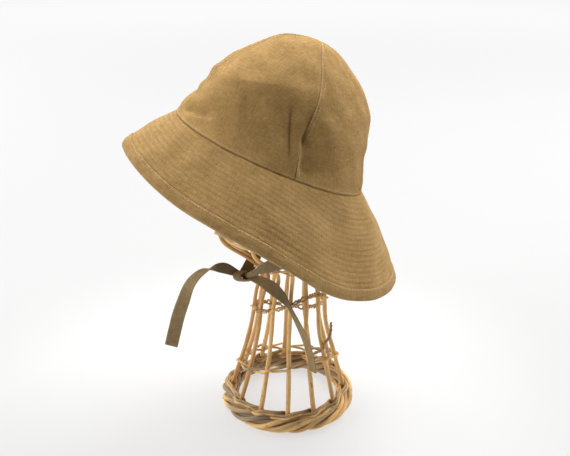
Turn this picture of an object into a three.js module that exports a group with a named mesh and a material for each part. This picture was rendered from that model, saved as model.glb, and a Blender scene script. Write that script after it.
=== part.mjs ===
// Canvas bucket hat with chin ties, standing on a wicker hat stand.
// Millimetres, +Z up. The hat's front faces -Y and the wearer's left is +X.
import * as THREE from 'three';

// Driving sizes of the hat, in its own level frame: the origin is the middle of the crown's lower edge.
// foldFade is the share of the crown's height over which its folds fade out at both ends,
// and ridgeRise is the share of the brim over which its folds come up.
const hat = {
  halfWidth: 87,
  halfLength: 97,
  crownHeight: 112.5,
  crownPower: 1.47,
  cloth: 2,
  gap: 0.3,
  hemWidth: 11,
  hemCloth: 1,
  foldFade: 0.06,
  ridgeRise: 0.3,
};

// How the hat sits on the stand: its middle above the foot's middle, front tipped up, left side tipped up.
const seat = { x: -4.5, y: -15, z: 289.7, tipDeg: 25.4, rollDeg: 1.75 };

// The brim, section by section from the front to the back: how far it reaches out, how far it drops,
// and how far its middle bows out.
const brimSections = [
  { angle: 0, reach: 36.5, drop: 48.5, bow: 1.6 },
  { angle: 45, reach: 32.5, drop: 58.3, bow: 1 },
  { angle: 90, reach: 51.5, drop: 63, bow: 2.5 },
  { angle: 135, reach: 59, drop: 81, bow: 0 },
  { angle: 180, reach: 76.8, drop: 70, bow: 2.2 },
];

// Dents and folds of the crown. angle is around the head from the front, over the wearer's left.
// height is the share of the crown's height, turn is in degrees from level, long is a half length in mm,
// and depth is in mm, outwards if positive. above and below are half widths in mm over the fold's line and
// under it, or before it and behind it where the fold stands upright.
// power is 2 for a soft bell and 1 for a crease.
// In order: brink of the hollow, front hollow, dent under the brink, dent before it,
// crease before the side seam, tuck along the side seam, hollow and swell behind it,
// ridge down the back, dent over the front seam, far side hollow.
const crownFolds = [
  { angle: 48, height: 0.51, turn: 21, long: 42, above: 35, below: 42, depth: 7.5, power: 1.2 },
  { angle: 55, height: 0.19, turn: 6, long: 40, above: 38, below: 25, depth: -8, power: 2 },
  { angle: 73, height: 0.47, turn: 20, long: 10, above: 6, below: 12, depth: -3, power: 2 },
  { angle: 52, height: 0.4, turn: 20, long: 9, above: 7, below: 14, depth: -2, power: 2 },
  { angle: 80.8, height: 0.3, turn: 106, long: 28, above: 2.2, below: 3, depth: -3.2, power: 1 },
  { angle: 90, height: 0.37, turn: 92, long: 17, above: 8, below: 3.5, depth: -4, power: 1 },
  { angle: 92.5, height: 0.2, turn: 99, long: 24, above: 3, below: 22, depth: -7, power: 2 },
  { angle: 100, height: 0.52, turn: 99, long: 43, above: 22, below: 30, depth: 3, power: 2 },
  { angle: 150, height: 0.16, turn: 90, long: 30, above: 4, below: 4, depth: 1.5, power: 2 },
  { angle: 20, height: 0.11, turn: 20, long: 18, above: 12, below: 4, depth: -5.5, power: 2 },
  { angle: 285, height: 0.35, turn: 80, long: 34, above: 26, below: 26, depth: -5, power: 2 },
];

// How far the slack cloth stands out, in mm up the front and up the back, and how far round that reaches.
const crownOutline = [
  { height: 0, front: 0, back: 0 },
  { height: 0.08, front: -0.2, back: -1 },
  { height: 0.16, front: -2, back: -2.9 },
  { height: 0.22, front: -4.3, back: -4.3 },
  { height: 0.28, front: -2.3, back: -4.3 },
  { height: 0.36, front: -2.4, back: -1.8 },
  { height: 0.44, front: 1.4, back: -0.4 },
  { height: 0.52, front: 0.8, back: 1.2 },
  { height: 0.6, front: 0.9, back: 3.3 },
  { height: 0.7, front: 0.5, back: 2.7 },
  { height: 0.8, front: -0.2, back: 1.6 },
  { height: 0.9, front: 1.7, back: -0.6 },
  { height: 1, front: 0, back: 0 },
];
const slackSides = { front: { angle: 352, half: 24 }, back: { angle: 166, half: 26 } };

// The seams wander round the head as they rise, in degrees.
const seamSway = [
  { height: 0, turn: 2.3 },
  { height: 0.22, turn: 0 },
  { height: 0.7, turn: 0 },
  { height: 1, turn: -6 },
];

// Soft folds that run down the brim: where they start and end around the head, and their half width.
const brimFolds = [
  { name: 'back ridge', startAngle: 156, endAngle: 138, halfAngle: 8, depth: 4.5 },
  { name: 'side dip', startAngle: 116, endAngle: 122, halfAngle: 14, depth: -2.5 },
];

// The upright canes of the stand: radius of their circle and its shift to the wearer's left and to the back.
const standSections = [
  { height: 19.1, radius: 60.6, aside: -6, back: 1.8 },
  { height: 64, radius: 47.8, aside: -2.3, back: 2.4 },
  { height: 101, radius: 39, aside: -1.5, back: 2.1 },
  { height: 137, radius: 35.3, aside: -1.2, back: 3.8 },
  { height: 163, radius: 30.2, aside: -1, back: 5.8 },
  { height: 182, radius: 47.5, aside: -0.5, back: 5 },
  { height: 203, radius: 69, aside: 0, back: 1.5 },
  { height: 226, radius: 70, aside: 0, back: -2 },
  { height: 256, radius: 65, aside: 0, back: 0 },
  { height: 290, radius: 60, aside: 0, back: 2 },
  { height: 322, radius: 53, aside: 0, back: 3 },
  { height: 350, radius: 40, aside: 0, back: 4 },
  { height: 372, radius: 25, aside: 0, back: 5 },
  { height: 383.9, radius: 16, aside: 0, back: 5 },
];

// Each cane's angle round the stand, and how far it leans round in the cage, in degrees.
const canes = [
  { angle: -9.8, lean: 5 },
  { angle: 23.7, lean: -13 },
  { angle: 50.8, lean: 0 },
  { angle: 78.4, lean: 0 },
  { angle: 105.1, lean: 0 },
  { angle: 132.1, lean: 0 },
  { angle: 163.4, lean: 0 },
  { angle: 204, lean: 0 },
  { angle: 233, lean: 0 },
  { angle: 262.5, lean: 0 },
  { angle: 288, lean: 0 },
  { angle: 313.5, lean: 0 },
];

// The heights between which the lean comes and goes.
const leanHeights = { from: 150, full: 200, fading: 240, gone: 340 };

const stand = {
  footRadius: 2.6,
  topRadius: 1.4,
  clear: 0.4,
  ring: { x: -6.6, y: 1.7, radius: 62.9, halfWidth: 9.8, height: 18, flat: 6 },
  topRing: { radius: 15, tube: 3, height: 387.3, back: 5 },
};

// Twined rows: height of the row, how far it rises at the wearer's left and twice a turn,
// and the radius of its strands.
const twineRows = [
  { name: 'foot_twine', height: 51.5, nearRise: 20, spiral: -3.5, strand: 1.3 },
  { name: 'waist_twine', height: 119, nearRise: 21, spiral: -6.5, strand: 1 },
  { name: 'neck_twine', height: 176, nearRise: 0, spiral: 0, strand: 1 },
  { name: 'jaw_twine', height: 214, nearRise: 0, spiral: 0, strand: 1.3 },
];

// The chin ties: flat strap, with each stretch's route, the way its width lies, and its width.
const strapThickness = 1.4;
const strapRoutes = {
  tie_left: [
    { at: [79, -12, 287], across: [0, 1, 0], width: 12.5 },
    { at: [80, -11, 262], across: [0, 1, 0], width: 12.5 },
    { at: [81.5, -11, 239], across: [0, 1, 0.1], width: 12.5 },
    { at: [82.5, -12, 225], across: [0, 1, 0.2], width: 12.5 },
    { at: [81.5, -13.5, 213], across: [-0.3, 0.6, 0.7], width: 13 },
    { at: [79, -16, 207.4], across: [-0.63, 0.13, 0.76], width: 13 },
    { at: [73, -20.4, 205], across: [-0.58, -0.04, 0.81], width: 13 },
    { at: [70, -25.9, 202.1], across: [-0.3, -0.28, 0.9], width: 12.5 },
    { at: [60, -32.4, 194.4], across: [-0.15, -0.34, 0.92], width: 11 },
    { at: [42, -38, 182.5], across: [-0.2, -0.34, 0.9], width: 7 },
    { at: [10.4, -42.9, 163.1], across: [-0.55, -0.2, 0.75], width: 5 },
  ],
  tie_right: [
    { at: [-87.6, -12, 282], across: [0, 1, 0], width: 12.5 },
    { at: [-86.5, -11, 258], across: [0, 1, 0], width: 12.5 },
    { at: [-84.5, -11, 239], across: [0, 1, 0.1], width: 12.5 },
    { at: [-82.5, -12, 225], across: [0, 1, 0.2], width: 12.5 },
    { at: [-80, -16, 213], across: [0, 0.8, 0.6], width: 13 },
    { at: [-72, -21, 200], across: [-0.4, 0.2, 0.85], width: 13 },
    { at: [-57, -24, 184], across: [-0.2, -0.5, 0.8], width: 13 },
    { at: [-40, -24, 170], across: [-0.07, -0.87, 0.48], width: 13 },
    { at: [-25, -29.2, 166.4], across: [-0.08, -0.85, 0.52], width: 13 },
    { at: [-12, -35.1, 166.1], across: [-0.19, -0.82, 0.53], width: 13 },
    { at: [-2, -41, 164.2], across: [-0.29, -0.78, 0.56], width: 12 },
  ],
  tail_left: [
    { at: [3.2, -53.9, 163.5], across: [0.33, 0.23, 0.92], width: 9.5 },
    { at: [3.8, -64.1, 169.6], across: [0.23, 0.18, 0.96], width: 13 },
    { at: [5, -71.3, 172.2], across: [0.41, -0.07, 0.91], width: 13.3 },
    { at: [6, -77.9, 172.4], across: [0.76, -0.22, 0.61], width: 13.5 },
    { at: [7.5, -86.2, 170.9], across: [1, -0.01, 0.04], width: 13.5 },
    { at: [9, -94.5, 165.8], across: [0.95, 0.29, -0.12], width: 13.5 },
    { at: [10, -102, 156.5], across: [0.8, 0.59, -0.13], width: 13.5 },
    { at: [11, -108.5, 140.9], across: [0.54, 0.82, -0.2], width: 13.5 },
    { at: [12, -114.2, 125.8], across: [0.39, 0.9, -0.22], width: 13.5 },
    { at: [13, -119, 109.1], across: [0.29, 0.93, -0.21], width: 13.5 },
    { at: [14, -123.3, 93.1], across: [0.28, 0.94, -0.2], width: 13.5 },
  ],
  tail_right: [
    { at: [8.7, -39.2, 160.2], across: [-0.67, 0.32, 0.67], width: 8 },
    { at: [17, -30.7, 158.8], across: [-0.44, 0.54, 0.72], width: 9.8 },
    { at: [23, -25.2, 157.3], across: [-0.32, 0.59, 0.74], width: 12 },
    { at: [28.5, -20.8, 155.6], across: [-0.1, 0.63, 0.77], width: 12.8 },
    { at: [34, -16.5, 153], across: [0.24, 0.57, 0.79], width: 13 },
    { at: [38.5, -12.8, 149.9], across: [0.51, 0.47, 0.72], width: 13 },
    { at: [42, -9.8, 146.2], across: [0.73, 0.29, 0.62], width: 13 },
    { at: [45, -7.1, 141.7], across: [0.85, 0.09, 0.52], width: 13 },
    { at: [49, -1.1, 129.1], across: [0.84, 0.16, 0.52], width: 13 },
    { at: [52, 5, 114.7], across: [0.81, 0.25, 0.52], width: 13 },
    { at: [55, 9.3, 102.1], across: [0.82, 0.29, 0.49], width: 13 },
    { at: [58, 12.6, 88.4], across: [0.85, 0.28, 0.45], width: 13 },
    { at: [61, 14.4, 74.1], across: [0.87, 0.27, 0.43], width: 13 },
  ],
};
const knot = { at: [3.5, -46, 160.5], half: [8, 8.5, 6.5] };

// How finely the faceted solids follow their curves. A panel's rows lie closer together near the tip
// where rowEasing is over 1.
const facets = {
  panels: {
    front_left: { from: 0, around: 18, up: 16 },
    back_left: { from: 90, around: 14, up: 15 },
    back_right: { from: 180, around: 10, up: 12 },
    front_right: { from: 270, around: 11, up: 13 },
  },
  rowEasing: 1.5,
  brimAround: 48,
  brimOut: 6,
  knotAround: 10,
  knotUp: 6,
  strapSteps: 20,
  caneSteps: 16,
  caneSides: 5,
  strandSteps: 3,
  strandSides: 4,
  ringAround: 40,
};

// Colours and finishes.
const canvas = new THREE.MeshStandardMaterial({ color: 0xa07f50, roughness: 0.92, metalness: 0 });
const hemCanvas = new THREE.MeshStandardMaterial({ color: 0x8f7248, roughness: 0.92, metalness: 0 });
const strapCanvas = new THREE.MeshStandardMaterial({ color: 0x6b5a3d, roughness: 0.95, metalness: 0 });
const willow = new THREE.MeshStandardMaterial({ color: 0xc8a26a, roughness: 0.6, metalness: 0 });
const weaver = new THREE.MeshStandardMaterial({ color: 0x8d7350, roughness: 0.7, metalness: 0 });

const up = new THREE.Vector3(0, 0, 1);
const radians = THREE.MathUtils.degToRad;

// A value around the head, the same on both sides, through equally spaced sections from front to back:
// the cosine series with as many terms as there are sections.
function aroundHead(sections, column) {
  const last = sections.length - 1;
  const half = (index) => (index === 0 || index === last ? 0.5 : 1);
  const terms = sections.map((_, k) => {
    const sum = sections.reduce(
      (total, row, j) => total + half(j) * row[column] * Math.cos((Math.PI * j * k) / last), 0);
    return (2 / last) * half(k) * sum;
  });
  return (angle) => terms.reduce((total, term, k) => total + term * Math.cos(k * radians(angle)), 0);
}

const brimReach = aroundHead(brimSections, 'reach');
const brimDrop = aroundHead(brimSections, 'drop');
const brimBow = aroundHead(brimSections, 'bow');

// The shorter way round from one angle to another, in degrees.
function turnBetween(from, to) {
  return ((((to - from) % 360) + 540) % 360) - 180;
}

// A value up the crown from a table's column: the cubic between two rows,
// with the slope of each row's neighbours.
function upCrown(rows, column, height) {
  const slope = (i) => {
    const [before, after] = [rows[Math.max(0, i - 1)], rows[Math.min(rows.length - 1, i + 1)]];
    return (after[column] - before[column]) / (after.height - before.height);
  };
  const i = Math.min(rows.length - 2, Math.max(0, rows.findLastIndex((row) => row.height <= height)));
  const span = rows[i + 1].height - rows[i].height;
  const share = Math.min(1, Math.max(0, (height - rows[i].height) / span));
  const eased = share * share * (3 - 2 * share);
  return rows[i][column] * (1 - eased) + rows[i + 1][column] * eased
    + span * share * (1 - share) * (slope(i) * (1 - share) - slope(i + 1) * share);
}

// How far the folds push the crown out at an angle and a share of its height: each is a bell or a crease
// across its line, level along it and eased at its ends.
function crownFoldDepth(angle, height) {
  const mmPerDegree = 1.4;
  const mmOfHeight = 150;
  const folded = crownFolds.reduce((total, fold) => {
    const across = turnBetween(fold.angle, angle) * mmPerDegree;
    const rise = (height - fold.height) * mmOfHeight;
    const turn = radians(fold.turn);
    const along = across * Math.cos(turn) + rise * Math.sin(turn);
    const aside = rise * Math.cos(turn) - across * Math.sin(turn);
    const wide = aside > 0 ? fold.above : fold.below;
    return total + fold.depth * Math.exp(-((along / fold.long) ** 4) - Math.abs(aside / wide) ** fold.power);
  }, 0);
  return Object.entries(slackSides).reduce((total, [side, { angle: middle, half }]) => {
    const near = Math.exp(-((turnBetween(middle, angle) / half) ** 2));
    return total + upCrown(crownOutline, side, height) * near;
  }, folded);
}

// A point of the crown: an oval that closes in as it rises, pushed along its normal by the folds.
// The folds fade out at the seam line and at the tip, and inwards is measured from the outer face.
function crownPoint(angle, height, inwards) {
  const a = radians(angle);
  const share = Math.sqrt(Math.max(0, 1 - height ** hat.crownPower));
  const outwards = new THREE.Vector3(Math.sin(a), -Math.cos(a), 0);
  const meanHalf = (hat.halfWidth + hat.halfLength) / 2;
  const steepness = meanHalf * hat.crownPower * height ** (hat.crownPower - 1);
  const normal = outwards.clone().multiplyScalar(2 * hat.crownHeight * share);
  normal.z = steepness;
  normal.normalize();
  const fade = Math.min(1, height / hat.foldFade) * Math.min(1, (1 - height) / hat.foldFade);
  const push = crownFoldDepth(angle, height) * fade - inwards;
  const point = new THREE.Vector3(
    hat.halfWidth * outwards.x * share, hat.halfLength * outwards.y * share, hat.crownHeight * height);
  return point.addScaledVector(normal, push);
}

// A point of the brim: straight out and down from the crown's edge, bowed a little, ridged by its folds.
// out runs from 0 at the crown to 1 at the edge, and lift is measured up from the upper face.
function brimPoint(angle, out, lift) {
  const a = radians(angle);
  const outwards = new THREE.Vector3(Math.sin(a) / hat.halfWidth, -Math.cos(a) / hat.halfLength, 0);
  outwards.normalize();
  const reach = brimReach(angle);
  const drop = brimDrop(angle);
  const normal = outwards.clone().multiplyScalar(drop).addScaledVector(up, reach).normalize();
  const ridge = brimFolds.reduce((total, fold) => {
    const middle = fold.startAngle + (fold.endAngle - fold.startAngle) * out;
    return total + fold.depth * Math.exp(-((turnBetween(middle, angle) / fold.halfAngle) ** 2));
  }, 0);
  const bow = brimBow(angle) * Math.sin(Math.PI * out);
  const point = new THREE.Vector3(hat.halfWidth * Math.sin(a), -hat.halfLength * Math.cos(a), -hat.gap);
  point.addScaledVector(outwards, reach * out + bow);
  point.z -= drop * out - bow;
  return point.addScaledVector(normal, ridge * Math.min(1, out / hat.ridgeRise) + lift);
}

// The slant length of the brim at an angle, from the crown to the edge.
function brimSlant(angle) {
  return Math.hypot(brimReach(angle), brimDrop(angle));
}

// A solid from points and faces given by index, wound anticlockwise seen from outside.
function solid(points, faces) {
  const geometry = new THREE.BufferGeometry();
  const places = points.flatMap((p) => [p.x, p.y, p.z]);
  geometry.setAttribute('position', new THREE.Float32BufferAttribute(places, 3));
  geometry.setIndex(faces.flat());
  geometry.computeVertexNormals();
  return geometry;
}

// The two triangles of a four-cornered face.
function quad(a, b, c, d) {
  return [[a, b, c], [a, c, d]];
}

// One crown panel: outer and inner faces that meet at the crown's tip, with its three edges closed.
function crownPanel({ from, around, up: rows }) {
  const points = [];
  const faces = [];
  const grid = { outer: [], inner: [] };
  for (const [side, depth] of [['outer', 0], ['inner', hat.cloth]]) {
    for (let j = 0; j < rows; j += 1) {
      const height = 1 - (1 - j / rows) ** facets.rowEasing;
      const line = [];
      for (let i = 0; i <= around; i += 1) {
        const angle = from + (90 * i) / around + upCrown(seamSway, 'turn', height);
        line.push(points.push(crownPoint(angle, height, depth)) - 1);
      }
      grid[side].push(line);
    }
    grid[side].tip = points.push(crownPoint(from, 1, depth)) - 1;
  }
  const { outer, inner } = grid;
  for (let j = 0; j < rows - 1; j += 1) {
    for (let i = 0; i < around; i += 1) {
      faces.push(...quad(outer[j][i], outer[j][i + 1], outer[j + 1][i + 1], outer[j + 1][i]));
      faces.push(...quad(inner[j][i], inner[j + 1][i], inner[j + 1][i + 1], inner[j][i + 1]));
    }
    faces.push(...quad(inner[j][0], outer[j][0], outer[j + 1][0], inner[j + 1][0]));
    faces.push(...quad(outer[j][around], inner[j][around], inner[j + 1][around], outer[j + 1][around]));
  }
  const top = rows - 1;
  for (let i = 0; i < around; i += 1) {
    faces.push([outer[top][i], outer[top][i + 1], outer.tip], [inner[top][i], inner.tip, inner[top][i + 1]]);
    faces.push(...quad(inner[0][i], inner[0][i + 1], outer[0][i + 1], outer[0][i]));
  }
  faces.push(...quad(inner[top][0], outer[top][0], outer.tip, inner.tip));
  faces.push(...quad(outer[top][around], inner[top][around], inner.tip, outer.tip));
  const geometry = solid(points, faces);
  const middle = radians(from + 45);
  const aside = hat.gap / Math.SQRT2;
  return geometry.translate(aside * Math.sin(middle), -aside * Math.cos(middle), 0);
}

// A closed ring: a closed profile of points at every angle, each profile running the same way round.
// A ring that wraps another one has its faces split the other way, so that their facets match.
function profileRing(count, profileAt, wraps = false) {
  const points = [];
  const faces = [];
  for (let i = 0; i < count; i += 1) {
    points.push(...profileAt((360 * i) / count));
  }
  const size = points.length / count;
  for (let i = 0; i < count; i += 1) {
    const here = i * size;
    const next = ((i + 1) % count) * size;
    for (let k = 0; k < size; k += 1) {
      const k2 = (k + 1) % size;
      const corners = [here + k, next + k, next + k2, here + k2];
      faces.push(...quad(...(wraps ? [...corners.slice(1), corners[0]] : corners)));
    }
  }
  return solid(points, faces);
}

// How far out the brim's own cloth goes at an angle: the binding's thickness lies past it.
function brimReachIn(angle, inwards) {
  return 1 - inwards / brimSlant(angle);
}

// The brim's section at an angle: down the upper face from the edge to the crown, back along the lower one.
// Its last step lies under the binding.
function brimProfile(angle) {
  const edge = brimReachIn(angle, hat.gap + hat.hemCloth);
  const bound = brimReachIn(angle, hat.hemWidth);
  const steps = Array.from({ length: facets.brimOut }, (_, j) => (bound * j) / (facets.brimOut - 1));
  steps.push(edge);
  return [
    ...steps.toReversed().map((out) => brimPoint(angle, out, 0)),
    ...steps.map((out) => brimPoint(angle, out, -hat.cloth)),
  ];
}

// The binding's section: up one side of the brim's edge, round it and down the other, then back inside.
function hemProfile(angle) {
  const clear = hat.gap;
  const skin = hat.gap + hat.hemCloth;
  const under = -hat.cloth;
  const inner = brimReachIn(angle, hat.hemWidth);
  const fold = brimReachIn(angle, hat.hemCloth);
  const shoulder = brimReachIn(angle, skin);
  return [
    brimPoint(angle, fold, under - clear),
    brimPoint(angle, inner, under - clear),
    brimPoint(angle, inner, under - skin),
    brimPoint(angle, shoulder, under - skin),
    brimPoint(angle, 1, under - clear),
    brimPoint(angle, 1, clear),
    brimPoint(angle, shoulder, skin),
    brimPoint(angle, inner, skin),
    brimPoint(angle, inner, clear),
    brimPoint(angle, fold, clear),
  ];
}

// A rod along a line of centres: a ring of corners at each centre, closed by caps or round on itself.
function rod(centres, radiusAt, sides, closed) {
  const points = [];
  const faces = [];
  const last = centres.length - 1;
  const count = centres.length;
  const at = (i) => centres[closed ? (i + count) % count : Math.min(last, Math.max(0, i))];
  const nearlyUpright = 0.8;
  let across = null;
  centres.forEach((centre, i) => {
    const along = at(i + 1).clone().sub(at(i - 1)).normalize();
    if (across === null) {
      const reference = Math.abs(along.z) > nearlyUpright ? new THREE.Vector3(0, 1, 0) : up;
      across = new THREE.Vector3().crossVectors(along, reference);
    }
    across = across.clone().addScaledVector(along, -across.dot(along)).normalize();
    const aside = new THREE.Vector3().crossVectors(along, across);
    for (let k = 0; k < sides; k += 1) {
      const turn = (2 * Math.PI * k) / sides;
      const radius = radiusAt(i / last);
      points.push(centre.clone().addScaledVector(across, radius * Math.cos(turn))
        .addScaledVector(aside, radius * Math.sin(turn)));
    }
  });
  const steps = closed ? count : last;
  for (let i = 0; i < steps; i += 1) {
    const here = i * sides;
    const next = ((i + 1) % count) * sides;
    for (let k = 0; k < sides; k += 1) {
      const k2 = (k + 1) % sides;
      faces.push(...quad(here + k, here + k2, next + k2, next + k));
    }
  }
  if (!closed) {
    for (let k = 1; k < sides - 1; k += 1) {
      const end = last * sides;
      faces.push([0, k + 1, k], [end, end + k, end + k + 1]);
    }
  }
  return solid(points, faces);
}

// The stand's cane circle from the foot up: a smooth curve through the columns given,
// at equal shares of the sections.
function sectionCurve(...columns) {
  const rows = standSections.map((row) => new THREE.Vector3(...columns.map((column) => row[column])));
  return new THREE.CatmullRomCurve3(rows, false, 'catmullrom', 0.5).getPoints(facets.caneSteps);
}
const standStations = sectionCurve('radius', 'back', 'height');
const standAsides = sectionCurve('aside', 'back', 'height');

// A point of the stand at a height and an angle around it, counted as on the hat: moved outwards from the
// cane, square to it, and onwards along it.
function standPoint(height, angle, outwards, onwards) {
  const a = radians(angle);
  const next = Math.max(1, standStations.findIndex((station) => station.z >= height));
  const [below, above] = [standStations[next - 1], standStations[next]];
  const share = (height - below.z) / (above.z - below.z);
  const section = below.clone().lerp(above, share);
  const aside = standAsides[next - 1].clone().lerp(standAsides[next], share).x;
  const along = above.clone().sub(below).setY(0).normalize();
  const radius = section.x + outwards * along.z + onwards * along.x;
  const rise = section.z - outwards * along.x + onwards * along.z;
  return new THREE.Vector3(aside + radius * Math.sin(a), section.y - radius * Math.cos(a), rise);
}

function caneRadius(share) {
  return stand.footRadius + (stand.topRadius - stand.footRadius) * share;
}

// A cane's angle at a height: its own, with its lean in the cage.
function caneAngle({ angle, lean }, height) {
  const { smoothstep } = THREE.MathUtils;
  const { from, full, fading, gone } = leanHeights;
  return angle + lean * smoothstep(height, from, full) * (1 - smoothstep(height, fading, gone));
}

function cane(row) {
  const centres = standStations.map(({ z }) => standPoint(z, caneAngle(row, z), 0, 0));
  return rod(centres, caneRadius, facets.caneSides, false);
}

// One of a pair of strands that twine round the canes: outside one cane and inside the next, and over or
// under its partner between them. A row that climbs needs more lift to keep the two apart.
function twineStrand(row, partner) {
  const caneThere = caneRadius(row.height / standSections.at(-1).height);
  const swing = caneThere + row.strand + stand.clear;
  const radiusThere = standPoint(row.height, 90, 0, 0).distanceTo(standPoint(row.height, 270, 0, 0)) / 2;
  const climb = (Math.abs(row.nearRise) + 2 * Math.abs(row.spiral)) / radiusThere;
  const flattened = Math.cos(Math.PI / (2 * facets.strandSteps));
  const lift = ((row.strand + hat.gap) * Math.hypot(1, climb)) / flattened;
  const posts = canes.map((post) => caneAngle(post, row.height));
  const centres = posts.flatMap((start, i) => Array.from({ length: facets.strandSteps }, (_, k) => {
    const end = i + 1 < posts.length ? posts[i + 1] : posts[0] + 360;
    const angle = start + ((end - start) * k) / facets.strandSteps;
    const phase = Math.PI * (i + k / facets.strandSteps + (partner ? 1 : 0));
    const a = radians(angle);
    const height = row.height + row.nearRise * Math.sin(a) + row.spiral * Math.sin(2 * a);
    return standPoint(height, angle, swing * Math.cos(phase), lift * Math.sin(phase));
  }));
  return rod(centres, () => row.strand, facets.strandSides, true);
}

// The braided foot as one plain ring with a flat underside, turned from a closed profile.
function footRing() {
  const { x, y, radius, halfWidth, height, flat } = stand.ring;
  const profile = [
    { out: -flat, rise: 0 },
    { out: flat, rise: 0 },
    { out: halfWidth, rise: 0.38 },
    { out: halfWidth * 0.85, rise: 0.75 },
    { out: flat * 0.6, rise: 1 },
    { out: -flat * 0.9, rise: 1 },
    { out: -halfWidth, rise: 0.6 },
    { out: -halfWidth * 0.95, rise: 0.25 },
    { out: -flat, rise: 0 },
  ].map(({ out, rise }) => new THREE.Vector2(radius + out, height * rise));
  const ring = new THREE.LatheGeometry(profile, facets.ringAround);
  return ring.rotateX(Math.PI / 2).translate(x, y, 0);
}

function topRing() {
  const { radius, tube, height, back } = stand.topRing;
  return new THREE.TorusGeometry(radius, tube, facets.caneSides, 2 * canes.length).translate(0, back, height);
}

// A flat strap along a route: a smooth curve through its rows, with its width lying as the rows say.
function strap(rows) {
  const curveOf = (pick) => new THREE.CatmullRomCurve3(rows.map(pick), false, 'catmullrom', 0.5);
  const route = curveOf((row) => new THREE.Vector3(...row.at));
  const acrossCurve = curveOf((row) => new THREE.Vector3(...row.across));
  const widthCurve = curveOf((row) => new THREE.Vector3(row.width, 0, 0));
  const points = [];
  const faces = [];
  for (let i = 0; i <= facets.strapSteps; i += 1) {
    const share = i / facets.strapSteps;
    const centre = route.getPoint(share);
    const along = route.getTangent(share);
    const across = acrossCurve.getPoint(share);
    across.addScaledVector(along, -across.dot(along)).normalize();
    const through = new THREE.Vector3().crossVectors(along, across);
    const halfWidth = widthCurve.getPoint(share).x / 2;
    for (const [u, v] of [[-1, -1], [1, -1], [1, 1], [-1, 1]]) {
      points.push(centre.clone().addScaledVector(across, u * halfWidth)
        .addScaledVector(through, (v * strapThickness) / 2));
    }
    if (i > 0) {
      const here = (i - 1) * 4;
      for (let k = 0; k < 4; k += 1) {
        const k2 = (k + 1) % 4;
        faces.push(...quad(here + k, here + k2, here + 4 + k2, here + 4 + k));
      }
    }
  }
  const end = facets.strapSteps * 4;
  faces.push(...quad(0, 3, 2, 1), ...quad(end, end + 1, end + 2, end + 3));
  return solid(points, faces);
}

function knotLump() {
  const ball = new THREE.SphereGeometry(1, facets.knotAround, facets.knotUp);
  return ball.scale(...knot.half).translate(...knot.at);
}

function piece(name, geometry, material) {
  const mesh = new THREE.Mesh(geometry, material);
  mesh.name = name;
  return mesh;
}

const hatGroup = new THREE.Group();
for (const [name, panel] of Object.entries(facets.panels)) {
  hatGroup.add(piece(`crown_panel_${name}`, crownPanel(panel), canvas));
}
hatGroup.add(piece('brim', profileRing(facets.brimAround, brimProfile), canvas));
hatGroup.add(piece('brim_hem', profileRing(facets.brimAround, hemProfile, true), hemCanvas));
hatGroup.position.set(seat.x, seat.y, seat.z);
hatGroup.rotation.set(-radians(seat.tipDeg), -radians(seat.rollDeg), 0);

const ties = new THREE.Group();
for (const [name, rows] of Object.entries(strapRoutes)) {
  ties.add(piece(name, strap(rows), strapCanvas));
}
ties.add(piece('tie_knot', knotLump(), strapCanvas));

const standGroup = new THREE.Group();
standGroup.add(piece('foot_ring', footRing(), weaver));
standGroup.add(piece('top_ring', topRing(), weaver));
canes.forEach((row, i) => {
  const name = `cane_${String(i + 1).padStart(2, '0')}`;
  standGroup.add(piece(name, cane(row), willow));
});
for (const row of twineRows) {
  standGroup.add(piece(`${row.name}_a`, twineStrand(row, false), weaver));
  standGroup.add(piece(`${row.name}_b`, twineStrand(row, true), weaver));
}

// The origin is on the floor, under the middle of the hat and the stand. The ties don't count in that.
const outline = new THREE.Box3().setFromObject(hatGroup, true);
outline.union(new THREE.Box3().setFromObject(standGroup, true));
const middle = outline.getCenter(new THREE.Vector3());
const part = new THREE.Group();
part.add(hatGroup, ties, standGroup);
part.position.set(-middle.x, -middle.y, 0);

export default part;
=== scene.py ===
import bmesh
import bpy
import numpy as np
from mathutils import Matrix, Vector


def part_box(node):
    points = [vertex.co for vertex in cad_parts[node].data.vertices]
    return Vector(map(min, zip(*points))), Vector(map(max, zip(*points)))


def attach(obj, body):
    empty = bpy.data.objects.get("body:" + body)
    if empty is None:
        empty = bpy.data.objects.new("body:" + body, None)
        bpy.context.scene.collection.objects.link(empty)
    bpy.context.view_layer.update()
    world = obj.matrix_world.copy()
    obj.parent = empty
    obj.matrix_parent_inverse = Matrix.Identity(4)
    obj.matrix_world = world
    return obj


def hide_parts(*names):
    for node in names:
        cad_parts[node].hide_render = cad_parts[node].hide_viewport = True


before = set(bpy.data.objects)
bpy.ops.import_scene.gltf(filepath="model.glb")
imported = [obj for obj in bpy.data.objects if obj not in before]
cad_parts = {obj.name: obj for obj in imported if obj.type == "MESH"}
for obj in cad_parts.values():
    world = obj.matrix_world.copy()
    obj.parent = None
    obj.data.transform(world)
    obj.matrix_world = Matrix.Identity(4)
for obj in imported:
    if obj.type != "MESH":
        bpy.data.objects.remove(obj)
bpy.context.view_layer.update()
millimetre = 0.001  # sizes below are in millimetres, and Blender's are in metres

# The stand's foot gives the place of everything: the hat's front faces -Y and the wearer's left is +X.
footAt = np.array([-6.6, 1.7])  # the middle of the foot, from the stand's own axis
footLow, footHigh = (np.array(corner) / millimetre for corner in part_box("foot_ring"))
standAt = np.append((footLow + footHigh)[:2] / 2 - footAt, 0.0)
rng = np.random.default_rng(11)
scene = bpy.context.scene


# A short table: a dictionary for each row, by column. A row may leave out its last columns.
def table(columns, *rows):
    return [dict(zip(columns.split(), row)) for row in rows]


def unit(v):
    return v / np.maximum(np.linalg.norm(v, axis=-1, keepdims=True), 1e-9)


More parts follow.
